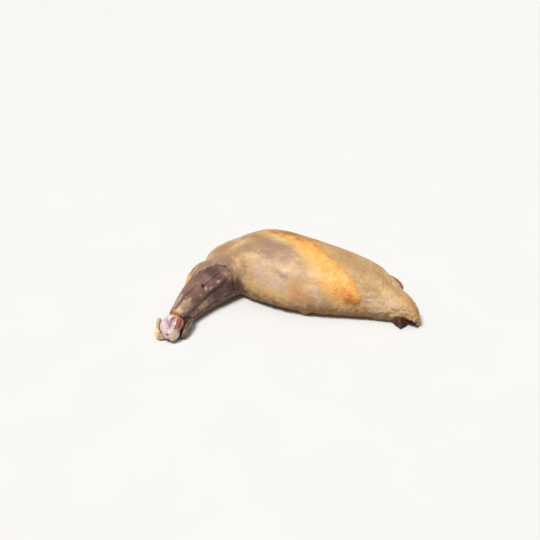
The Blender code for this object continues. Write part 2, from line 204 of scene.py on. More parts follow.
def linear(hex_colour):
    """A linear RGBA colour from an sRGB hex value."""
    channels = [int(hex_colour[i:i + 2], 16) / 255 for i in (1, 3, 5)]
    return (*(c / 12.92 if c <= 0.04045 else ((c + 0.055) / 1.055) ** 2.4 for c in channels), 1.0)


def add_node(tree, kind, inputs=None, **settings):
    """Adds a shader node with its settings, its inputs fed from values or from other nodes' sockets."""
    node = tree.nodes.new(kind)
    for name, value in settings.items():
        setattr(node, name, value)
    for key, value in (inputs or {}).items():
        if isinstance(value, bpy.types.NodeSocket):
            tree.links.new(value, node.inputs[key])
        else:
            node.inputs[key].default_value = value
    return node


def fine_copy(node_name, piece_name, voxel):
    """A new piece with a solid's shape, drawn again in even small faces."""
    piece = bpy.data.objects.new(piece_name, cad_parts[node_name].data.copy())
    bpy.context.scene.collection.objects.link(piece)
    fine = piece.modifiers.new("Fine", "REMESH")
    fine.mode = "VOXEL"
    fine.voxel_size = voxel
    evaluated = piece.evaluated_get(bpy.context.evaluated_depsgraph_get())
    mesh = bpy.data.meshes.new_from_object(evaluated)
    piece.modifiers.clear()
    piece.data = mesh
    mesh.name = piece_name
    mesh.materials.clear()
    mesh.shade_smooth()
    return piece


def places(mesh):
    """The mesh's points, in millimetres."""
    flat = np.empty(len(mesh.vertices) * 3, np.float32)
    mesh.vertices.foreach_get("co", flat)
    return flat.reshape(-1, 3).astype(float) * PER_METRE


def move_to(mesh, points):
    """Moves the mesh's points to places in millimetres."""
    mesh.vertices.foreach_set("co", (points / PER_METRE).astype(np.float32).ravel())
    mesh.update()


def facings(mesh):
    """Which way the mesh faces at each point."""
    flat = np.empty(len(mesh.vertices) * 3, np.float32)
    mesh.vertices.foreach_get("normal", flat)
    return flat.reshape(-1, 3).astype(float)


def links(mesh):
    """Pairs of points that an edge joins."""
    flat = np.empty(len(mesh.edges) * 2, np.int32)
    mesh.edges.foreach_get("vertices", flat)
    return flat.reshape(-1, 2)


def spread(values, edges, share, passes):
    """Each value drawn towards the mean of its neighbours', over and over."""
    a, b = edges.T
    many = len(values)
    count = np.bincount(edges.ravel(), minlength=many)[:, None]
    table = values.reshape(many, -1)
    for _ in range(passes):
        total = np.stack(
            [np.bincount(a, column[b], many) + np.bincount(b, column[a], many) for column in table.T], 1)
        table = table + share[:, None] * (total / count - table)
    return table.reshape(values.shape)


def keep(mesh, name, values):
    """Stores a value for each point, which a material reads by its name."""
    mesh.attributes.new(name, "FLOAT", "POINT").data.foreach_set("value", values.astype(np.float32))


# Patterns over points in millimetres


def ramp(values, low, high):
    """0 up to the low value, 1 from the high value on, and a soft rise between them."""
    t = np.clip((values - low) / (high - low), 0, 1)
    return t * t * (3 - 2 * t)


def cloud(points, size, stretch=(1, 1, 1), turn=0.0):
    """Smooth noise from about -1 to 1, in blobs of that size, stretched after a turn about Z in degrees.

    A number added to the points shifts the noise, so that no two patterns fall together.
    """
    laid = turned(points, turn) / (size * np.array(stretch))
    return np.array([noise.noise(p) for p in laid.tolist()])


def creases(points, size, width, stretch=(1, 1, 1), turn=0.0):
    """1 along the winding lines where a cloud passes through zero, and 0 away from them."""
    return 1 - ramp(np.abs(cloud(points, size, stretch, turn)), 0, width)


def bumps(points, spacing, radius):
    """1 at the middle of small round bumps that lie about the spacing apart, and 0 away from them."""
    nearest = np.array([noise.voronoi(p)[0][0] for p in (points / spacing).tolist()])
    return 1 - ramp(nearest * spacing, 0, radius)


def turned(points, degrees):
    """Points in a frame that is turned about Z."""
    c, s = math.cos(math.radians(degrees)), math.sin(math.radians(degrees))
    return points @ np.array(((c, -s, 0), (s, c, 0), (0, 0, 1)))


def within(points, centre, radii, turn=0.0):
    """How far points are from a centre, as a share of the way to an ellipsoid round it."""
    return np.linalg.norm(turned(points - np.array(centre), turn) / np.array(radii), axis=1)


def spot(points, body, low, high, shift=0.0):
    """1 inside a rounded body, falling to 0 between two shares of its radii, its edge moved by a shift."""
    return 1 - ramp(within(points, *body) + shift, low, high)


def away_from(points, place):
    """Distance of points from a place."""
    return np.linalg.norm(points - np.array(place), axis=1)


def from_line(points, line):
    """Distance of points from a line through several points."""
    best = np.full(len(points), np.inf)
    for a, b in zip(np.array(line[:-1], float), np.array(line[1:], float)):
        t = np.clip((points - a) @ (b - a) / ((b - a) @ (b - a)), 0, 1)
        best = np.minimum(best, np.linalg.norm(points - a - t[:, None] * (b - a), axis=1))
    return best


def inside(flat, outline):
    """Distance of flat points from an outline, above zero inside it."""
    corners = np.array(outline, float)
    best = np.full(len(flat), np.inf)
    crossings = np.zeros(len(flat), bool)
    for a, b in zip(corners, np.roll(corners, -1, axis=0)):
        t = np.clip((flat - a) @ (b - a) / ((b - a) @ (b - a)), 0, 1)
        best = np.minimum(best, np.linalg.norm(flat - a - t[:, None] * (b - a), axis=1))
        spans = (a[1] > flat[:, 1]) != (b[1] > flat[:, 1])
        rise = b[1] - a[1] if b[1] != a[1] else 1e-9
        crossings ^= spans & (flat[:, 0] < (b[0] - a[0]) * (flat[:, 1] - a[1]) / rise + a[0])
    return np.where(crossings, best, -best)


def unrolled(points):
    """Places on the breast's skin laid out flat: along it, and round it, both in millimetres."""
    middle = np.interp(points[:, 0], MIDDLE_X, MIDDLE_Y)
    degrees = np.degrees(np.arctan2(points[:, 2] - MIDDLE_Z, middle - points[:, 1]))
    degrees = np.where(degrees < -90, degrees + 360, degrees)
    return np.stack([points[:, 0], degrees * MM_PER_DEGREE], 1)


def patches(flat, table):
    """1 in the middle of soft patches on the unrolled skin, and 0 outside them."""
    best = np.zeros(len(flat))
    for (along, degrees), (long, wide), turn in table:
        c, s = math.cos(math.radians(turn)), math.sin(math.radians(turn))
        away = flat - np.array((along, degrees * MM_PER_DEGREE))
        reach = np.hypot((away @ np.array((c, s))) / long, (away @ np.array((-s, c))) / wide)
        best = np.maximum(best, 1 - ramp(reach, PATCH_CORE, PATCH_REACH))
    return best


def bare_share(piece_points, piece_facings, cover):
    """1 where a point looks out freely, and 0 where another solid covers it closely."""
    return np.array([
        0.0 if cover.ray_cast(Vector(p) * MM + Vector(n) * COVER_START, Vector(n), COVER_REACH)[0] else 1.0
        for p, n in zip(piece_points.tolist(), piece_facings.tolist())
    ])


def solid_tree(node_name):
    """A solid's faces, for finding what lies over a point."""
    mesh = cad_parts[node_name].data
    return BVHTree.FromPolygons([v.co for v in mesh.vertices], [p.vertices[:] for p in mesh.polygons])


def distance_to(points, targets):
    """Distance of points from the nearest of other points."""
    tree = kdtree.KDTree(len(targets))
    for i, p in enumerate(targets.tolist()):
        tree.insert(p, i)
    tree.balance()
    return np.array([tree.find(p)[2] for p in points.tolist()])


def hand_over(piece, node_name):
    """The piece stands for its solid, which is hidden, and moves with the body."""
    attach(piece, "root")
    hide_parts(node_name)


# The shapes


def shape_skin(piece, look):
    """The relief of the skin, of the fat under it and of the flesh beside it."""
    mesh = piece.data
    edges = links(mesh)
    points = places(mesh)

    # The dome is smoothed most. The thin sleeve of the wing and all that is near the floor keep their shape.
    sleeve = ramp(-points[:, 1], -6, 2) * ramp(-points[:, 0], 38, 46)
    softness = (0.15 + 0.35 * ramp(points[:, 2], 2, 12)) * (1 - 0.6 * sleeve)
    points = spread(points, edges, softness, 14)
    points[:, 2] = np.where(points[:, 2] < 0.25, 0.0, points[:, 2])
    move_to(mesh, points)
    out = facings(mesh)
    flat = unrolled(points)
    degrees = flat[:, 1] / MM_PER_DEGREE
    above = ramp(points[:, 2], 0.4, 2.5)
    dome = above * (1 - sleeve)

    # The flesh that shows: under the tail's rim, on the far side, and inside the margin of skin underneath
    hollow = spot(points, TAIL_HOLLOW, 1.02, 1.14)
    roll = spot(points, FAR_ROLL, 0.92, 1.05)
    sides = points[(points[:, 2] > 1.0) & (points[:, 2] < 2.5) & (np.abs(out[:, 2]) < 0.8)]
    plan = points * (1, 1, 0)
    margin = distance_to(plan, sides * (1, 1, 0))
    under = ramp(-out[:, 2], 0.6, 0.9) * (1 - ramp(points[:, 2], 0.8, 2.0)) * (1 - sleeve)
    flesh = np.maximum(under * ramp(margin + 2.5 * cloud(points, 9), 3.5, 6.0), hollow)

    # The wing's meat is close behind the skin at the edge where it was pulled off. The skin thins out there,
    # and under the wing it is a trough with a thin pale edge.
    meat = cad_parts["wing_muscle"].data
    meat_points = places(meat)
    bare = bare_share(meat_points, facings(meat), solid_tree("breast")) > 0.5
    to_meat = distance_to(points, meat_points[bare])
    collar = ramp(points[:, 2], 8, 12)
    lip = (1 - ramp(to_meat, 1.5, 7.0)) * collar
    thinned = (1 - ramp(to_meat, 1.6, 4.0)) * collar
    # Painted shade: the skin of the trough under the wing is coloured dark, on its side facing +X.
    trough_shade = sleeve * (1 - ramp(points[:, 2], 6.5, 9.0)) * ramp(out[:, 0], -0.3, 0.4)
    edge_line = (1 - ramp(to_meat, 1.3, 3.0)) * (1 - collar)
    armpit_shade = spot(points, ARMPIT_SHADE, 0.4, 1.2, 0.2 * cloud(points, 5))
    strip = spot(points, SKIN_STRIP, 0.85, 1.1)
    torn = (1 - ramp(to_meat, 1.4, 3.4)) * collar

    # The fat band and its lobes, with an edge that wanders
    wander = np.stack([cloud(points, 7), cloud(points + 31, 7)], 1) * 1.8
    stray = wander + np.stack([cloud(points + 61, 12), cloud(points + 91, 12)], 1) * 4.0
    outline = [(along, around * MM_PER_DEGREE) for along, around in FAT_BAND]
    edge = inside(flat + wander, outline)
    uphill = ramp(inside(flat + wander + (1.5, 0), outline) - edge, -0.6, 1.0)
    fades = 1 - ramp(degrees + 22 * cloud(points + 47, 12), *FAT_FADES)
    soft = np.maximum(1.7 * uphill, 4.0 * ramp(degrees, *FAT_BLURS))
    fat = ramp(edge, -FAT_EDGE - 2.5 * soft, FAT_EDGE + 2.0 * soft) * dome * fades
    stain = np.maximum(uphill * ramp(edge, -9, 1), ramp(edge, -2, 2)) * dome
    stain *= 1 - ramp(degrees, *STAIN_FADES)
    lobes = creases(points, 4.4, 0.12, (2.4, 1, 1), 50)
    crepe = creases(points + 17, 1.7, 0.3, (2.6, 1, 1), 55)
    fat_lines = np.maximum(0.8 * lobes, 0.5 * crepe)

    # The net of fine wrinkles in the rest of the skin, which gathers into folds towards the tail
    wrinkled = (0.25 + 0.75 * ramp(flat[:, 0], -10, 22)) * (1 - 0.6 * patches(flat, GREY_PATCHES))
    one_way = creases(points, 3.4, 0.13, (4.0, 1, 1), -30)
    other_way = creases(points + 53, 3.0, 0.13, (3.0, 1, 1), 20)
    net = np.maximum(one_way, 0.7 * other_way) * ramp(cloud(points + 19, 9), -0.5, 0.1)
    folds = creases(points + 9, 6.0, 0.16, (4.0, 1, 1), -28) * ramp(points[:, 0], 30, 52)
    cross_folds = creases(points + 71, 6.0, 0.12, (1, 2.6, 1.5), 10) * ramp(points[:, 0], 55, 70)
    follicles = bumps(points, look.follicle_spacing * PER_METRE, 0.9) * ramp(degrees, 30, 75)

    # The rim where the skin turns under, and the frayed rim over the tail's hollow
    rim_shade_and_pink = above * (1 - ramp(points[:, 2] + cloud(points, 8), 4.5, 12.5)) * (1 - sleeve)
    tail_rim = above * (1 - ramp(from_line(points, TAIL_RIM), 1.5, 4.0))
    ragged = cloud(points, 3.0) + 0.6 * cloud(points + 5, 1.6)
    frays = creases(points + 29, 3.2, 0.16, (1, 1, 2))

    beads = np.zeros(len(points))
    bead_height = np.zeros(len(points))
    for along, around, radius, height in FAT_BEADS:
        away = np.hypot(flat[:, 0] - along, flat[:, 1] - around * MM_PER_DEGREE)
        bead = (1 - ramp(away + 0.7 * cloud(points, 1.2), 0.0, 1.1 * radius)) * dome
        beads = np.maximum(beads, bead)
        bead_height = np.maximum(bead_height, bead * height)

    # How far each point moves out, in millimetres
    height = 0.30 * cloud(points, 24) * above + 0.16 * cloud(points + 40, 9) * above
    height += fat * look.fat_height * PER_METRE * (0.85 + 0.2 * cloud(points + 3, 6))
    height -= fat * fat_lines * 0.24
    height -= (1 - fat) * dome * wrinkled * look.wrinkle_depth * PER_METRE * net
    height -= dome * (0.32 * folds + 0.30 * cross_folds) * (1 - 0.5 * fat)
    height += dome * follicles * look.follicle_height * PER_METRE
    height += 0.5 * bead_height
    height += rim_shade_and_pink * 0.55 * ragged + tail_rim * (0.6 * ragged - 0.9 * frays)
    sleeve_creases = creases(points, 4.0, 0.12, (1, 2.6, 1.4), 12)
    height += sleeve * above * (0.18 * cloud(points, 3.5) - 0.22 * sleeve_creases)
    on_top = ramp(out @ np.array((0.3, -0.5, 0.8)), -0.2, 0.4)
    height += lip * 0.2 * cloud(points, 2.2) - thinned * 0.75 * on_top
    height -= roll * 0.3 * creases(points, 4.0, 0.2, (2, 1, 1), -40)
    for place, radius, depth in NICKS:
        height -= depth * (1 - ramp(away_from(points, place), 0.3 * radius, 1.6 * radius))
    grain = creases(points, 2.6, 0.3, (9, 1, 1), -12)
    seam = creases(points + 23, 15.0, 0.10, (4, 1, 1), -10)
    height -= flesh * (0.12 * grain + 0.5 * seam) * ramp(margin, 2, 6)

    points = points + out * height[:, None]

    # The torn edge reaches unevenly over the meat.
    over_meat = np.array(WINDOW_MIDDLE) - points
    over_meat /= np.linalg.norm(over_meat, axis=1)[:, None]
    points = points + over_meat * (torn * np.maximum(0.0, 0.5 + 1.3 * cloud(points + 11, 4.5)))[:, None]
    points[:, 2] = np.maximum(points[:, 2], 0.0)
    move_to(mesh, points)

    keep(mesh, "fat", fat)
    keep(mesh, "stain", stain)
    keep(mesh, "brown_fat", patches(flat + wander, BROWN_FAT))
    # Darker fat near the band's edge and in patches, partly painted shade near the top.
    keep(mesh, "deep_fat_and_shade", np.maximum((1 - ramp(edge, -0.5, 6.5)) * (1 - uphill), patches(flat, DEEP_FAT_AND_SHADE)))
    keep(mesh, "lines", np.maximum(fat * fat_lines, 0.7 * dome * wrinkled * net * (1 - fat)))
    keep(mesh, "folds", dome * np.maximum(folds, cross_folds))
    keep(mesh, "beads", beads)
    for name, table in SKIN_PATCHES.items():
        keep(mesh, name, patches(flat + stray, table) * above)
    # Painted shade: the rim where the skin turns under is coloured darker towards the floor.
    keep(mesh, "rim_shade_and_pink", rim_shade_and_pink * (1 - tail_rim))
    keep(mesh, "frayed", tail_rim)
    # Painted shade: the skin darkens towards the tail's tip.
    keep(mesh, "tail", ramp(points[:, 0], 62, 77) * dome)
    keep(mesh, "sleeve", sleeve)
    # Painted shade: the crease between wing and breast takes the lip's colour above and the trough's below.
    keep(mesh, "lip", np.maximum(lip, 0.8 * armpit_shade * above))
    # Painted shade: the trough under the wing is coloured dark.
    keep(mesh, "trough_shade", np.maximum(trough_shade, 0.95 * armpit_shade * (1 - ramp(points[:, 2], 12, 21))))
    keep(mesh, "edge_line", edge_line * sleeve)
    keep(mesh, "strip", strip)
    wedge = spot(points, TAIL_WEDGE, 0.9, 1.05)
    wedge *= (1 - tail_rim) * (1 - ramp(points[:, 2], 5, 8))
    keep(mesh, "wedge", wedge)
    keep(mesh, "wedge_top", wedge * ramp(points[:, 2] + cloud(points, 2.5), 2.6, 4.4))
    keep(mesh, "flesh", flesh)
    keep(mesh, "hollow", hollow * ramp(within(points, *TAIL_HOLLOW), 0.55, 0.98) * (1 - wedge))
    keep(mesh, "roll", roll)
    keep(mesh, "lumps", spot(points, KNUCKLE_LUMP, 0.8, 1.1))
    keep(mesh, "flap", spot(points, SKIN_FLAP, 0.7, 1.1))
    keep(mesh, "collar_fat", spot(points, COLLAR_FAT, 0.5, 1.1))


def shape_meat(piece, look):
    """The fibres, seams and beads of the bare meat."""
    mesh = piece.data
    edges = links(mesh)
    points = spread(places(mesh), edges, np.full(len(mesh.vertices), 0.4), 8)
    move_to(mesh, points)
    out = facings(mesh)

    # What the skin doesn't cover swells up to the skin's edge.
    bare = bare_share(points, out, solid_tree("breast"))
    bare = ramp(spread(bare, edges, np.full(len(bare), 0.6), 10), 0.04, 0.5)
    fibres = creases(points, 0.9, 0.5, (1, 9, 1.6), -14)
    bundles = creases(points + 7, 2.6, 0.25, (1, 8, 1.4), -14)
    height = look.swell * PER_METRE * bare + 0.35 * bare * cloud(points, 9, (1, 2, 1), -14)
    height -= bare * (look.fibre_depth * PER_METRE * fibres + 0.28 * bundles)

    seams = np.zeros(len(points))
    for line, width, depth in MEAT_SEAMS:
        away = from_line(points, line) + 0.35 * cloud(points, 3)
        seams = np.maximum(seams, 1 - ramp(away, 0.2, 2.2 * width))
        height -= depth * (1 - ramp(away, 0, 2.2 * width))
    beads = np.zeros(len(points))
    for centre, radius, depth in MEAT_BEADS:
        away = within(points, centre, (radius, 1.3 * radius, radius)) + 0.55 * cloud(points, 1.1)
        beads = np.maximum(beads, 1 - ramp(away, 0.2, 1.5))
        height += depth * (1 - ramp(away, 0.1, 1.3))
    place, radius, depth = MEAT_HOLE
    hole = 1 - ramp(away_from(points, place), 0.4 * radius, 1.5 * radius)
    height -= depth * hole
    place, radius = TENDON_END
    tendon = 1 - ramp(away_from(points, place), 0.6 * radius, 1.3 * radius)
    height += 0.6 * tendon
    shift = 0.25 * cloud(points, 3)
    pale = np.maximum.reduce([spot(points, body, 0.5, 1.15, shift) for body in PALE_MEAT])
    # Painted shade: the meat darkens in its creases and beside the breast.
    shift = 0.25 * cloud(points, 4)
    shade_and_deep_marrow = np.maximum.reduce([spot(points, body, 0.3, 1.2, shift) for body in MEAT_CREASE_SHADE])

    move_to(mesh, points + out * height[:, None])
    keep(mesh, "shade_and_deep_marrow", shade_and_deep_marrow)
    keep(mesh, "film", spot(points, FILM, 0.4, 1.2, 0.35 * cloud(points, 2.5)))
    keep(mesh, "seams", seams)
    keep(mesh, "beads", np.maximum(beads, tendon))
    keep(mesh, "orange", spot(points, ORANGE_STRIP, 0.5, 1.15, 0.2 * cloud(points, 2)))
    keep(mesh, "hole", hole)
    keep(mesh, "pale", pale)


def shape_bone(piece, look):
    """The lobes, the hollow and the small hole of the knuckle."""
    mesh = piece.data
    edges = links(mesh)
    points = spread(places(mesh), edges, np.full(len(mesh.vertices), 0.4), 5)
    move_to(mesh, points)
    out = facings(mesh)
    knuckle = ramp(-points[:, 1], 46, 52)
    hollow = spot(points, KNUCKLE_HOLLOW, 0.97, 1.1, 0.12 * cloud(points, 2)) * knuckle
    place, radius, depth = BONE_HOLE
    hole = 1 - ramp(away_from(points, place), 0.4 * radius, 1.4 * radius)
    height = knuckle * (0.30 * cloud(points, 3.2) + 0.15 * cloud(points + 9, 1.3))
    height += hollow * 0.2 * cloud(points + 3, 1.8)
    height -= knuckle * 0.25 * creases(points + 4, 2.6, 0.12)
    height -= depth * hole
    move_to(mesh, points + out * height[:, None])
    keep(mesh, "hollow", hollow)
    keep(mesh, "shade_and_deep_marrow", spot(points, HOLLOW_BOTTOM, 0.4, 1.2))
    keep(mesh, "rim_shade_and_pink", spot(points, HOLLOW_RIM, 0.6, 1.2))
    keep(mesh, "bare_bone", spot(points, BARE_BONE, 0.7, 1.1))
    keep(mesh, "hole", hole)
    keep(mesh, "orange", spot(points, ORANGE_STRIP, 0.7, 1.1))


# The materials


def new_material(name, finish):
    """A material with one shader for a finish, and each point's place in millimetres for its patterns."""
    made = bpy.data.materials.new(name)
    made.use_nodes = True
    tree = made.node_tree
    tree.nodes.clear()
    shader = add_node(tree, "ShaderNodeBsdfPrincipled", finish)
    add_node(tree, "ShaderNodeOutputMaterial", {"Surface": shader.outputs["BSDF"]})
    place = add_node(tree, "ShaderNodeTexCoord").outputs["Object"]
    in_mm = add_node(tree, "ShaderNodeVectorMath", {0: place, "Scale": PER_METRE}, operation="SCALE")
    return made, tree, shader, in_mm.outputs[0]


def mottle(tree, place, size, detail=3.0, low=0.35, high=0.65):
    """Blotches of about that many millimetres, as a value from 0 to 1."""
    blotches = add_node(tree, "ShaderNodeTexNoise", {"Vector": place, "Scale": 1 / size, "Detail": detail})
    limits = {0: blotches.outputs["Fac"], 1: low, 2: high}
    return add_node(tree, "ShaderNodeMapRange", limits, interpolation_type="SMOOTHSTEP").outputs[0]


def layer(tree, under, over, share, strength=1.0):
    """One colour laid over another, as far as the share says."""
    scaled = add_node(tree, "ShaderNodeMath", {0: share, 1: strength}, operation="MULTIPLY", use_clamp=True)
    mixed = add_node(
        tree, "ShaderNodeMix", {"Factor": scaled.outputs[0], "A": under, "B": over}, data_type="RGBA")
    return mixed.outputs["Result"]


def mask(tree, name, broken_by=None, amount=0.5):
    """A stored value, its edge broken up by a pattern. The pattern changes nothing where it is 0 or 1."""
    value = add_node(tree, "ShaderNodeAttribute", attribute_name=name).outputs["Fac"]
    if broken_by is None:
        return value
    shifted = add_node(tree, "ShaderNodeMath", {0: broken_by, 1: 0.5}, operation="SUBTRACT")
    sized = add_node(tree, "ShaderNodeMath", {0: shifted.outputs[0], 1: 4 * amount}, operation="MULTIPLY")
    room = add_node(tree, "ShaderNodeMath", {0: 1.0, 1: value}, operation="SUBTRACT")
    both = add_node(tree, "ShaderNodeMath", {0: value, 1: room.outputs[0]}, operation="MULTIPLY")
    wave = add_node(tree, "ShaderNodeMath", {0: both.outputs[0], 1: sized.outputs[0]}, operation="MULTIPLY")
    return add_node(
        tree, "ShaderNodeMath", {0: value, 1: wave.outputs[0]}, operation="ADD", use_clamp=True).outputs[0]


def painted(tree, colour, look, coats):
    """A colour under coats, each laid where its stored value says: name, pattern, how broken, strength."""
    for name, pattern, broken, strength in coats:
        colour = layer(tree, colour, getattr(look, name), mask(tree, name, pattern, broken), strength)
    return colour


def stretched(tree, place, scale, turn):
    """The place scaled after a turn about Z, so that blotches become streaks."""
    return add_node(
        tree, "ShaderNodeMapping", {"Vector": place, "Scale": scale, "Rotation": (0, 0, turn)}).outputs[0]


def dress(tree, shader, colour, pattern, wettest, driest, relief):
    """Gives the shader its colour, a roughness that follows a pattern, and its fine relief."""
    tree.links.new(colour, shader.inputs["Base Color"])
    roughness = add_node(tree, "ShaderNodeMapRange", {0: pattern, 3: wettest, 4: driest})
    tree.links.new(roughness.outputs[0], shader.inputs["Roughness"])
    tree.links.new(relief.outputs[0], shader.inputs["Normal"])


def poultry_skin(look):
    """Raw poultry skin, moist: a thin translucent hide over meat, yellow where fat lies under it."""
    made, tree, shader, place = new_material("raw_poultry_skin_moist", {
        "IOR": 1.42,
        "Specular IOR Level": 0.42,
        "Subsurface Weight": 0.18,
        "Subsurface Radius": (1.0, 0.45, 0.25),
        "Subsurface Scale": 0.0022,
        "Coat Weight": 0.12,
        "Coat Roughness": 0.28,
    })
    broad = mottle(tree, place, 16.0)
    middling = mottle(tree, place, 5.0, 4.0)
    small = mottle(tree, place, 1.6, 4.0)
    grain = mottle(tree, place, 0.55, 2.0, 0.3, 0.7)
    streaks = mottle(tree, stretched(tree, place, (0.35, 1.0, 1.0), 0.5), 2.6, 5.0, 0.38, 0.68)
    along_wing = stretched(tree, place, (1.0, 0.16, 0.5), 0.1)

    colour = layer(tree, look.skin_dark, look.skin_light, broad)
    colour = layer(tree, colour, look.skin_yellow, middling, 0.55)
    colour = layer(tree, colour, look.skin_pink, streaks, 0.30)
    colour = layer(tree, colour, look.skin_brown, mottle(tree, place, 3.4, 5.0, 0.48, 0.72), 0.32)
    # The first coat, on the top and far side of the dome, is painted shade.
    colour = painted(tree, colour, look, (
        ("top_shade", middling, 0.4, 0.45),
        ("warm", middling, 0.3, 0.8),
        ("yellow", streaks, 0.4, 0.5),
        ("pale", streaks, 0.35, 0.6),
        ("grey", streaks, 0.3, 0.8),
        ("pink", streaks, 0.3, 0.6),
        ("bruise", streaks, 0.4, 0.6),
    ))
    collar = layer(tree, look.sleeve, look.sleeve_grey, mottle(tree, along_wing, 1.8, 3.0, 0.38, 0.6))
    colour = layer(tree, colour, collar, mask(tree, "sleeve", middling, 0.6), 0.8)
    # Painted shade: the rim where the skin turns under, the tail's tip and the trough under the wing are
    # coloured darker.
    colour = painted(tree, colour, look, (
        ("rim_shade_and_pink", middling, 0.7, 0.85),
        ("tail", small, 0.4, 0.72),
        ("frayed", small, 0.9, 0.5),
        ("lip", small, 0.6, 0.8),
        ("trough_shade", middling, 0.6, 0.85),
        ("edge_line", small, 0.8, 0.8),
    ))
    strip = layer(tree, look.trough_shade, look.strip, mottle(tree, along_wing, 1.1, 3.0, 0.4, 0.6))
    colour = layer(tree, colour, strip, mask(tree, "strip", small, 0.3), 0.95)

    fat = layer(tree, look.fat, look.fat_deep, middling, 0.25)
    fat = layer(tree, fat, look.fat_pale, small, 0.22)
    # Darker fat, partly painted shade near the top.
    fat = layer(tree, fat, look.fat_deep, mask(tree, "deep_fat_and_shade", middling, 0.4), 0.75)
    fat = layer(tree, fat, look.fat_brown, mask(tree, "brown_fat", middling, 0.5), 0.9)
    colour = layer(tree, colour, look.stain, mask(tree, "stain", middling, 0.6), 0.6)
    colour = layer(tree, colour, fat, mask(tree, "fat", small, 0.3), 0.95)
    colour = painted(tree, colour, look, (
        ("beads", grain, 0.6, 0.32),
        ("lumps", small, 0.4, 0.9),
        ("flap", small, 0.7, 0.85),
    ))
    colour = layer(tree, colour, look.fat, mask(tree, "collar_fat", small, 0.7), 0.6)
    lines = layer(tree, look.line, look.fat_line, mask(tree, "fat"))
    colour = layer(tree, colour, lines, mask(tree, "lines", grain, 0.4), 0.5)
    colour = layer(tree, colour, look.line, mask(tree, "folds"), 0.14)

    fibres = mottle(tree, stretched(tree, place, (0.12, 1.0, 1.0), 0.2), 1.2, 3.0)
    flesh = layer(tree, look.flesh, look.flesh_dark, fibres, 0.7)
    flesh = layer(tree, flesh, look.flesh_pale, broad, 0.35)
    colour = layer(tree, colour, flesh, mask(tree, "flesh", small, 0.5))
    colour = layer(tree, colour, look.wedge, mask(tree, "wedge", small, 0.2), 0.97)
    colour = layer(tree, colour, look.hollow, mask(tree, "wedge_top", small, 0.4), 0.85)
    colour = layer(tree, colour, look.roll, mask(tree, "roll", small, 0.4), 0.9)
    colour = layer(tree, colour, look.hollow, mask(tree, "hollow"), 0.85)

    pores = add_node(tree, "ShaderNodeBump", {"Strength": 0.25, "Distance": 0.00025, "Height": grain})
    puckers = add_node(tree, "ShaderNodeBump", {
        "Strength": 0.3, "Distance": 0.0004, "Height": small, "Normal": pores.outputs[0]})
    dress(tree, shader, colour, middling, 0.38, 0.56, puckers)
    return made


def dark_meat(look):
    """Raw dark wing meat under its own thin silver skin, moist: fine fibres along the bone, a low sheen."""
    made, tree, shader, place = new_material("raw_dark_meat_moist", {
        "IOR": 1.40,
        "Subsurface Weight": 0.12,
        "Subsurface Radius": (1.0, 0.3, 0.25),
        "Subsurface Scale": 0.0015,
        "Coat Weight": 0.25,
        "Coat Roughness": 0.25,
        "Sheen Weight": 0.15,
        "Sheen Roughness": 0.4,
    })
    along = stretched(tree, place, (1.0, 0.1, 0.8), 0.24)
    threads = mottle(tree, along, 0.8, 2.0, 0.3, 0.7)
    strands = mottle(tree, along, 2.2, 3.0)
    broad = mottle(tree, place, 7.0)
    small = mottle(tree, place, 1.4, 4.0)
    colour = layer(tree, look.meat_dark, look.meat, broad)
    colour = layer(tree, colour, look.meat_violet, strands, 0.55)
    colour = layer(tree, colour, look.meat_film, threads, 0.28)
    # The darkest coat is painted shade in the meat's creases and beside the breast.
    colour = painted(tree, colour, look, (
        ("pale", strands, 0.6, 0.7),
        ("shade_and_deep_marrow", strands, 0.8, 0.75),
        ("film", small, 1.2, 0.6),
        ("seams", small, 0.5, 0.8),
        ("orange", small, 0.7, 0.75),
        ("beads", small, 0.6, 0.7),
        ("hole", None, 0.0, 0.9),
    ))
    ridges = add_node(tree, "ShaderNodeBump", {"Strength": 0.5, "Distance": 0.0003, "Height": threads})
    dress(tree, shader, colour, small, 0.32, 0.5, ridges)
    return made


def wet_cartilage(look):
    """Joint cartilage and cut bone end, wet: smooth lilac white, red where marrow and vessels show."""
    made, tree, shader, place = new_material("joint_cartilage_wet", {
        "IOR": 1.38,
        "Subsurface Weight": 0.25,
        "Subsurface Radius": (1.0, 0.5, 0.45),
        "Subsurface Scale": 0.0015,
        "Coat Weight": 0.45,
        "Coat Roughness": 0.15,
    })
    broad = mottle(tree, place, 3.2)
    small = mottle(tree, place, 1.0, 4.0)
    colour = layer(tree, look.cartilage, look.cartilage_lilac, broad, 0.8)
    colour = layer(tree, colour, look.cartilage_pink, mottle(tree, place, 2.2, 2.0), 0.16)
    colour = layer(tree, colour, look.cartilage_pink, mask(tree, "rim_shade_and_pink", small, 0.8), 0.75)
    colour = layer(tree, colour, look.bone, mask(tree, "bare_bone", small, 0.6), 0.8)
    colour = layer(tree, colour, look.orange, mask(tree, "orange", small, 0.6), 0.85)
    red = layer(tree, look.marrow, look.marrow_dark, mask(tree, "shade_and_deep_marrow", small, 0.6), 0.9)
    colour = layer(tree, colour, red, mask(tree, "hollow", small, 0.7), 0.95)
    colour = layer(tree, colour, look.marrow_dark, mask(tree, "hole"), 0.9)
    ripples = add_node(tree, "ShaderNodeBump", {"Strength": 0.3, "Distance": 0.0003, "Height": small})
    dress(tree, shader, colour, small, 0.22, 0.4, ripples)
    return made


def paper_sweep(look):
    """Matt paper, pale: the floor."""
    made, tree, shader, place = new_material(
        "matt_paper_pale", {"Roughness": 0.9, "Specular IOR Level": 0.1})
    tone = layer(tree, look.floor, look.floor_shade, mottle(tree, place, 60.0), 0.15)
    tree.links.new(tone, shader.inputs["Base Color"])
    return made


# What a user can change


def colour_setting(name, hex_colour, description):
    return bpy.props.FloatVectorProperty(
        name=name, description=description, default=linear(hex_colour), min=0.0, max=1.0,
        subtype="COLOR", size=4)


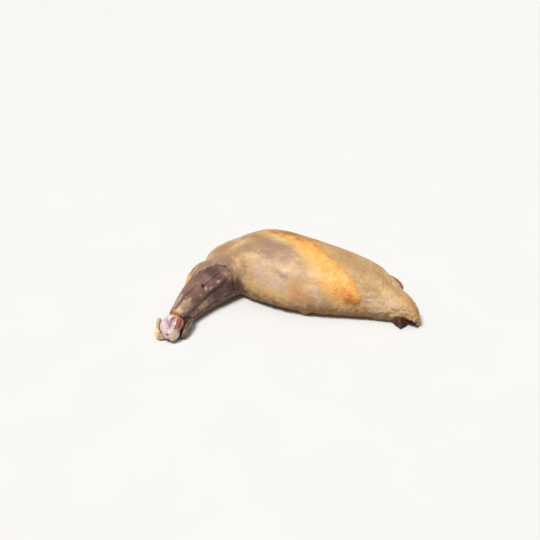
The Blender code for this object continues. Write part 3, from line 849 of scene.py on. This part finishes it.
def size_setting(name, millimetres, description):
    return bpy.props.FloatProperty(
        name=name, description=description, default=millimetres * MM, unit="LENGTH", min=0.0, precision=5)


def number_setting(name, value, description, lowest=0.0):
    return bpy.props.FloatProperty(name=name, description=description, default=value, min=lowest)


class SkinLook(bpy.types.PropertyGroup):
    """The relief and the colours of the skin and of the flesh beside it."""

    fat_height: size_setting("Fat height", 0.8, "How far the band of fat stands out")
    wrinkle_depth: size_setting("Wrinkle depth", 0.32, "Depth of the fine net of wrinkles")
    follicle_height: size_setting("Follicle height", 0.14, "Height of the bumps that feathers leave")
    follicle_spacing: size_setting("Follicle spacing", 4.2, "Distance between those bumps")
    skin_light: colour_setting("Skin, light", "#dfbe8a", "Skin where it is thick")
    skin_dark: colour_setting("Skin, dark", "#b8936a", "Skin where it is thin")
    skin_yellow: colour_setting("Skin, yellow", "#cfa766", "Skin over a little fat")
    skin_pink: colour_setting("Skin, pink", "#bf957a", "Skin over meat")
    skin_brown: colour_setting("Skin, brown", "#9c7450", "Skin where it has dried")
    # Painted shade: the colour of the darker patches on the top and far side of the dome.
    top_shade: colour_setting("Lean skin", "#a88357", "Skin without fat on the far side")
    warm: colour_setting("Warm skin", "#997256", "Skin over the shoulder")
    yellow: colour_setting("Yellowed skin", "#cfa76c", "Skin over thin fat")
    pale: colour_setting("Pale skin", "#cdb199", "Skin over pale film")
    grey: colour_setting("Grey patch", "#927462", "Thin skin over dark meat")
    pink: colour_setting("Pink patch", "#bfa197", "Thin skin over pale meat")
    bruise: colour_setting("Bruise", "#c98659", "Reddened skin")
    sleeve: colour_setting("Collar", "#b18e69", "Skin round the wing")
    sleeve_grey: colour_setting("Collar, grey", "#867061", "Skin round the wing where it is thin")
    lip: colour_setting("Lip", "#8a6a5c", "Skin's edge over the bare meat")
    # Painted shade: the colour of the skin under the wing and of the crease beside the wing.
    trough_shade: colour_setting("Trough", "#5b4033", "Wet skin under the wing, dark from the meat in it")
    strip: colour_setting("Strip", "#96795f", "Skin that runs on from under the wing beside the knuckle")
    wedge: colour_setting("Wedge", "#3a1b0b", "The meat's corner that points out of the tail")
    edge_line: colour_setting("Edge line", "#c99757", "The thin edge of the skin under the wing")
    # Painted shade: the colour that darkens the skin where it turns under, towards the floor.
    rim_shade_and_pink: colour_setting("Rim", "#775029", "Skin where it turns under")
    frayed: colour_setting("Frayed rim", "#bd996d", "Skin's edge over the tail's hollow")
    # Painted shade: the colour that darkens the tail towards its tip.
    tail: colour_setting("Tail", "#ad824c", "Skin at the tip of the tail")
    fat: colour_setting("Fat", "#f4b760", "Fat under the skin")
    fat_deep: colour_setting("Fat, deep", "#d98f3f", "Fat where it is thick")
    fat_pale: colour_setting("Fat, pale", "#fbcf87", "Fat where it is thin")
    fat_brown: colour_setting("Fat, brown", "#864a12", "Fat at the ends of its band")
    stain: colour_setting("Stain", "#cfa566", "Skin with a little fat beside the band")
    beads: colour_setting("Bead", "#e9c072", "Beads of fat under the skin")
    lumps: colour_setting("Lump", "#f6d498", "Lump of fat beside the knuckle")
    flap: colour_setting("Flap", "#cbb49c", "Thin torn skin beside the knuckle")
    line: colour_setting("Wrinkle line", "#94714c", "The bottom of a wrinkle")
    fat_line: colour_setting("Fat line", "#b9742c", "The bottom of a wrinkle in the fat")
    flesh: colour_setting("Flesh", "#a87c64", "Bare breast meat")
    flesh_dark: colour_setting("Flesh, dark", "#7c5140", "Bare breast meat between its fibres")
    flesh_pale: colour_setting("Flesh, pale", "#c39c82", "Bare breast meat under its film")
    roll: colour_setting("Roll", "#8e5644", "Thin roll of flesh on the far side")
    hollow: colour_setting("Hollow", "#44160e", "Raw flesh deep under the tail's rim")


class MeatLook(bpy.types.PropertyGroup):
    """The relief and the colours of the bare dark meat."""

    swell: size_setting("Swell", 1.35, "How far the bare meat stands up to the skin's edge")
    fibre_depth: size_setting("Fibre depth", 0.12, "Depth of the grooves between fibres")
    meat: colour_setting("Meat", "#805e52", "Dark meat")
    meat_dark: colour_setting("Meat, dark", "#643f37", "Dark meat where it is bare of film")
    meat_violet: colour_setting("Meat, violet", "#7b5952", "Dark meat under its film")
    meat_film: colour_setting("Film", "#9c7d6c", "Threads of film on the meat")
    pale: colour_setting("Pale meat", "#b89a80", "Meat thin over the bone")
    # Painted shade: the colour of the meat's creases and of its end beside the breast.
    shade_and_deep_marrow: colour_setting("Deep meat", "#3f2720", "Meat in the crease beside the breast")
    film: colour_setting("Skin film", "#a78a74", "Thin skin left on the meat")
    seams: colour_setting("Seam", "#4b2c27", "Between two muscles")
    beads: colour_setting("Bead", "#cbb08f", "White tissue and beads of fat")
    orange: colour_setting("Orange fat", "#a8703c", "Fat where the meat ends at the knuckle")
    hole: colour_setting("Hole", "#3a1216", "A small vessel's end")


class BoneLook(bpy.types.PropertyGroup):
    """The colours of the knuckle."""

    cartilage: colour_setting("Cartilage", "#d6c4c0", "Joint cartilage")
    cartilage_lilac: colour_setting("Cartilage, lilac", "#bfa5ad", "Joint cartilage in its folds")
    cartilage_pink: colour_setting("Cartilage, pink", "#cf9787", "Joint cartilage with blood on it")
    bone: colour_setting("Bone", "#ecd6b2", "Bare bone")
    orange: colour_setting("Orange fat", "#cf8a48", "Fat above the hollow")
    marrow: colour_setting("Marrow", "#a54a2c", "The hollow of the joint")
    marrow_dark: colour_setting("Marrow, dark", "#6a1a0e", "The bottom of the hollow")


class StageLook(bpy.types.PropertyGroup):
    """The floor, the lights and the camera."""

    floor: colour_setting("Floor", "#d6d5d3", "The floor")
    floor_shade: colour_setting("Floor, shade", "#cecdca", "The floor's faint mottling")
    key_power: number_setting("Key power", 3.75, "Power of the main light")
    back_power: number_setting("Back power", 0.42, "Power of the soft light from behind")
    ambient: number_setting("Ambient", 0.22, "Strength of the even light all round")
    backdrop: number_setting("Backdrop", 1.0, "Brightness of what is behind the floor")
    eye: bpy.props.FloatVectorProperty(
        name="Eye", description="Where the camera stands", default=(0.152, -0.435, 0.298),
        subtype="TRANSLATION", unit="LENGTH")
    aim: bpy.props.FloatVectorProperty(
        name="Aim", description="The way the camera looks", default=(-0.3174, 0.8057, -0.5),
        subtype="DIRECTION")
    lens: number_setting("Lens", 55.53, "Focal length for a sensor 36 mm wide, in millimetres", 1.0)


# The steps


class SUPREME_OT_skin(bpy.types.Operator):
    """Build the breast with its skin, the wing's sleeve and the flesh beside the skin"""

    bl_idname = "supreme.add_skin"
    bl_label = "Breast and Skin"

    def execute(self, context):
        look = context.scene.supreme_skin
        piece = fine_copy("breast", "skin_on_breast", SKIN_VOXEL)
        shape_skin(piece, look)
        piece.data.materials.append(poultry_skin(look))
        hand_over(piece, "breast")
        return {"FINISHED"}


class SUPREME_OT_meat(bpy.types.Operator):
    """Build the bare dark meat of the wing"""

    bl_idname = "supreme.add_meat"
    bl_label = "Wing Meat"

    def execute(self, context):
        look = context.scene.supreme_meat
        piece = fine_copy("wing_muscle", "dark_wing_meat", MEAT_VOXEL)
        shape_meat(piece, look)
        piece.data.materials.append(dark_meat(look))
        hand_over(piece, "wing_muscle")
        return {"FINISHED"}


class SUPREME_OT_bone(bpy.types.Operator):
    """Build the wing's bone with its knuckle"""

    bl_idname = "supreme.add_bone"
    bl_label = "Knuckle"

    def execute(self, context):
        look = context.scene.supreme_bone
        piece = fine_copy("wing_bone", "knuckle_and_bone", BONE_VOXEL)
        shape_bone(piece, look)
        piece.data.materials.append(wet_cartilage(look))
        hand_over(piece, "wing_bone")
        return {"FINISHED"}


class SUPREME_OT_stage(bpy.types.Operator):
    """Lay the floor, hang the lights and set up the camera"""

    bl_idname = "supreme.add_stage"
    bl_label = "Stage"

    def execute(self, context):
        look = context.scene.supreme_stage
        scene = context.scene
        floor_mesh = bpy.data.meshes.new("paper_floor")
        ways = ((-1, -1), (1, -1), (1, 1), (-1, 1))
        corners = [(x * FLOOR_REACH, y * FLOOR_REACH, 0.0) for x, y in ways]
        floor_mesh.from_pydata(corners, [], [(0, 1, 2, 3)])
        floor_mesh.materials.append(paper_sweep(look))
        floor = bpy.data.objects.new("paper_floor", floor_mesh)
        floor.location.z = -FLOOR_DROP
        scene.collection.objects.link(floor)

        # A weak even light from all round, and a brighter sky where nothing else is seen
        world = bpy.data.worlds.new("even_light")
        world.use_nodes = True
        tree = world.node_tree
        seen = add_node(tree, "ShaderNodeLightPath").outputs["Is Camera Ray"]
        strength = add_node(tree, "ShaderNodeMapRange", {0: seen, 3: look.ambient, 4: look.backdrop})
        background = tree.nodes["Background"]
        background.inputs["Color"].default_value = (1.0, 1.0, 1.0, 1.0)
        tree.links.new(strength.outputs[0], background.inputs["Strength"])
        scene.world = world

        for name, power, (place, width) in (
            ("key_light", look.key_power, KEY_LIGHT),
            ("back_light", look.back_power, BACK_LIGHT),
        ):
            lamp = bpy.data.lights.new(name, "SUN")
            lamp.energy = power
            lamp.angle = math.radians(width)
            holder = bpy.data.objects.new(name, lamp)
            holder.location = place
            holder.rotation_euler = (-Vector(place)).to_track_quat("-Z", "Y").to_euler()
            scene.collection.objects.link(holder)

        lens = bpy.data.cameras.new("camera")
        lens.lens = look.lens
        lens.sensor_width = SENSOR_WIDTH
        lens.clip_start = NEAREST_SEEN
        lens.clip_end = FURTHEST_SEEN
        camera = bpy.data.objects.new("camera", lens)
        camera.location = look.eye
        camera.rotation_euler = Vector(look.aim).to_track_quat("-Z", "Y").to_euler()
        scene.collection.objects.link(camera)
        scene.camera = camera
        scene.view_settings.view_transform = "Standard"
        return {"FINISHED"}


class SUPREME_PT_steps(bpy.types.Panel):
    """The steps that dress the supreme"""

    bl_label = "Guinea Fowl Supreme"
    bl_idname = "SUPREME_PT_steps"
    bl_space_type = "VIEW_3D"
    bl_region_type = "UI"
    bl_category = "Supreme"

    def draw(self, context):
        for step in STEPS:
            self.layout.operator(step.bl_idname)


STEPS = (SUPREME_OT_skin, SUPREME_OT_meat, SUPREME_OT_bone, SUPREME_OT_stage)
LOOKS = {
    "supreme_skin": SkinLook,
    "supreme_meat": MeatLook,
    "supreme_bone": BoneLook,
    "supreme_stage": StageLook,
}


def register():
    for name, look in LOOKS.items():
        bpy.utils.register_class(look)
        setattr(bpy.types.Scene, name, bpy.props.PointerProperty(type=look))
    for step in STEPS:
        bpy.utils.register_class(step)
    bpy.utils.register_class(SUPREME_PT_steps)


def unregister():
    bpy.utils.unregister_class(SUPREME_PT_steps)
    for step in reversed(STEPS):
        bpy.utils.unregister_class(step)
    for name, look in LOOKS.items():
        delattr(bpy.types.Scene, name)
        bpy.utils.unregister_class(look)


def main():
    register()
    bpy.ops.supreme.add_skin()
    bpy.ops.supreme.add_meat()
    bpy.ops.supreme.add_bone()
    bpy.ops.supreme.add_stage()


if __name__ == "__main__":
    main()
